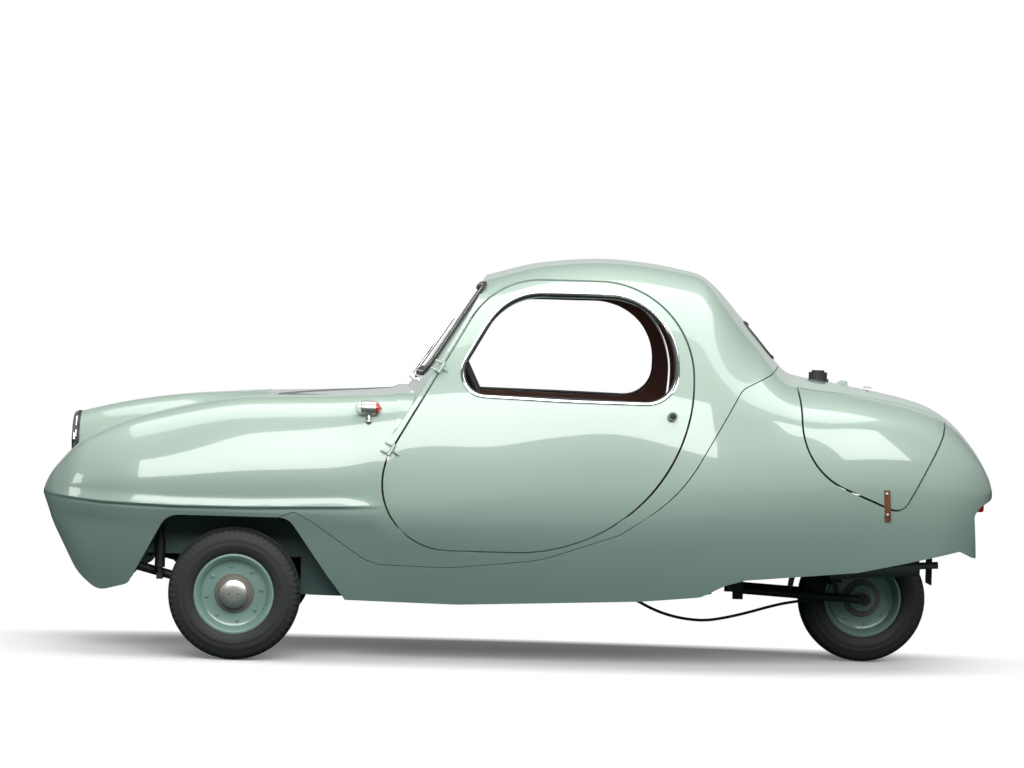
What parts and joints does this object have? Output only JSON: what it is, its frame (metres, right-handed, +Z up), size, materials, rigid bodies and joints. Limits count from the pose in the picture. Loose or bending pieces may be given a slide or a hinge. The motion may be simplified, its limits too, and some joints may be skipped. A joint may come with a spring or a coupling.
{
  "type": "three wheeled car",
  "caption": "Small closed three wheeled coupe with two steered front wheels, one rear wheel, a single central headlamp, side doors and rear lids",
  "frame": {"origin": "on the ground under the middle of the overall box", "axes": "+Z up, nose towards -X, the car's right side towards +Y"},
  "size_m": [2.95, 1.2954, 1.2519],
  "materials": {
    "body_paint": "pale grey-green gloss paint over moulded panels",
    "underside": "dark green-grey paint",
    "lining": "reddish brown lining",
    "clear_glass": "clear sheet",
    "tyre_rubber": "black rubber",
    "rim_paint": "green gloss paint",
    "satin_metal": "satin silver",
    "chassis_black": "black paint, worn",
    "black_rubber": "black rubber",
    "cast_metal": "bare casting",
    "exhaust_steel": "dull steel",
    "cable_black": "black sheath",
    "gauge_black": "black dial",
    "seat_cloth": "reddish brown cover",
    "chrome": "bright plating",
    "lamp_glass": "clear ribbed glass",
    "red_lens": "red lens",
    "strap_leather": "brown leather"
  },
  "bodies": {
    "car": {"front_shell": "body_paint", "rear_shell": "body_paint", "floor_pan": "underside", "wheel_wells": "underside", "bulkhead": "lining", "windscreen_glass": "clear_glass", "rear_glass": "clear_glass", "front_axle": "chassis_black", "front_dampers": "chassis_black", "rear_frame": "chassis_black", "swing_arm": "chassis_black", "rear_dampers": "chassis_black", "rear_mudguard": "chassis_black", "mudflap": "black_rubber", "engine_block": "cast_metal", "exhaust": "exhaust_steel", "brake_cable": "cable_black", "dashboard": "body_paint", "speedometer": "gauge_black", "steering_column": "chassis_black", "pedals": "chassis_black", "gear_lever": "satin_metal", "seat_frames": "chassis_black", "driver_cushion": "seat_cloth", "driver_back": "seat_cloth", "passenger_cushion": "seat_cloth", "passenger_back": "seat_cloth", "headlamp_bucket": "chassis_black", "headlamp_ring": "chrome", "headlamp_lens": "lamp_glass", "wing_lamp_bodies": "chrome", "wing_lamp_front_lenses": "lamp_glass", "wing_lamp_rear_lenses": "red_lens", "filler_cap": "black_rubber", "deck_louvres": "body_paint", "tail_lamp_housing": "chrome", "tail_lamp_lens": "red_lens", "wiper": "chrome", "door_hinge_brackets": "body_paint"},
    "steering_yoke_body": {"steering_yoke": "satin_metal", "yoke_grips": "black_rubber"},
    "knuckle_left_body": {"knuckle_left": "chassis_black"},
    "knuckle_right_body": {"knuckle_right": "chassis_black"},
    "wheel_front_left": {"tyre_front_left": "tyre_rubber", "rim_front_left": "rim_paint", "hub_cap_front_left": "satin_metal"},
    "wheel_front_right": {"tyre_front_right": "tyre_rubber", "rim_front_right": "rim_paint", "hub_cap_front_right": "satin_metal"},
    "wheel_rear": {"tyre_rear": "tyre_rubber", "rim_rear": "rim_paint"},
    "door_left_body": {"door_left": "body_paint", "door_hardware_left": "chrome"},
    "door_right_body": {"door_right": "body_paint", "door_hardware_right": "chrome"},
    "lid_left_body": {"lid_left": "body_paint", "lid_strap_left": "strap_leather"},
    "lid_right_body": {"lid_right": "body_paint", "lid_strap_right": "strap_leather"}
  },
  "joints": [
    {"name": "steering", "type": "hinge", "parent": "car", "child": "steering_yoke_body", "pos_m": [-0.177, -0.23, 0.87], "axis": [0.9023, 0, 0.4311], "range_deg": [-40, 40]},
    {"name": "kingpin_left", "type": "hinge", "parent": "car", "child": "knuckle_left_body", "pos_m": [-0.875, -0.44, 0.2], "axis": [0, 0, 1], "range_deg": [-26, 26]},
    {"name": "kingpin_right", "type": "hinge", "parent": "car", "child": "knuckle_right_body", "pos_m": [-0.875, 0.44, 0.2], "axis": [0, 0, 1], "range_deg": [-26, 26]},
    {"name": "roll_front_left", "type": "hinge", "parent": "knuckle_left_body", "child": "wheel_front_left", "pos_m": [-0.875, -0.525, 0.2], "axis": [0, 1, 0], "continuous": true},
    {"name": "roll_front_right", "type": "hinge", "parent": "knuckle_right_body", "child": "wheel_front_right", "pos_m": [-0.875, 0.525, 0.2], "axis": [0, 1, 0], "continuous": true},
    {"name": "roll_rear", "type": "hinge", "parent": "car", "child": "wheel_rear", "pos_m": [1.085, 0, 0.2], "axis": [0, 1, 0], "continuous": true},
    {"name": "door_left_hinge", "type": "hinge", "parent": "car", "child": "door_left_body", "pos_m": [-0.419, -0.641, 0.637], "axis": [-0.4808, -0.2522, -0.8398], "range_deg": [0, 60]},
    {"name": "door_right_hinge", "type": "hinge", "parent": "car", "child": "door_right_body", "pos_m": [-0.419, 0.641, 0.637], "axis": [0.4808, -0.2522, 0.8398], "range_deg": [0, 60]},
    {"name": "lid_left_hinge", "type": "hinge", "parent": "car", "child": "lid_left_body", "pos_m": [0.955, -0.302, 0.856], "axis": [-0.9442, -0.3068, 0.1198], "range_deg": [0, 70]},
    {"name": "lid_right_hinge", "type": "hinge", "parent": "car", "child": "lid_right_body", "pos_m": [0.955, 0.302, 0.856], "axis": [0.9442, -0.3068, -0.1198], "range_deg": [0, 70]}
  ],
  "couplings": [
    {"joint": "kingpin_left", "follows": "steering", "ratio": -0.65},
    {"joint": "kingpin_right", "follows": "steering", "ratio": -0.65}
  ]
}
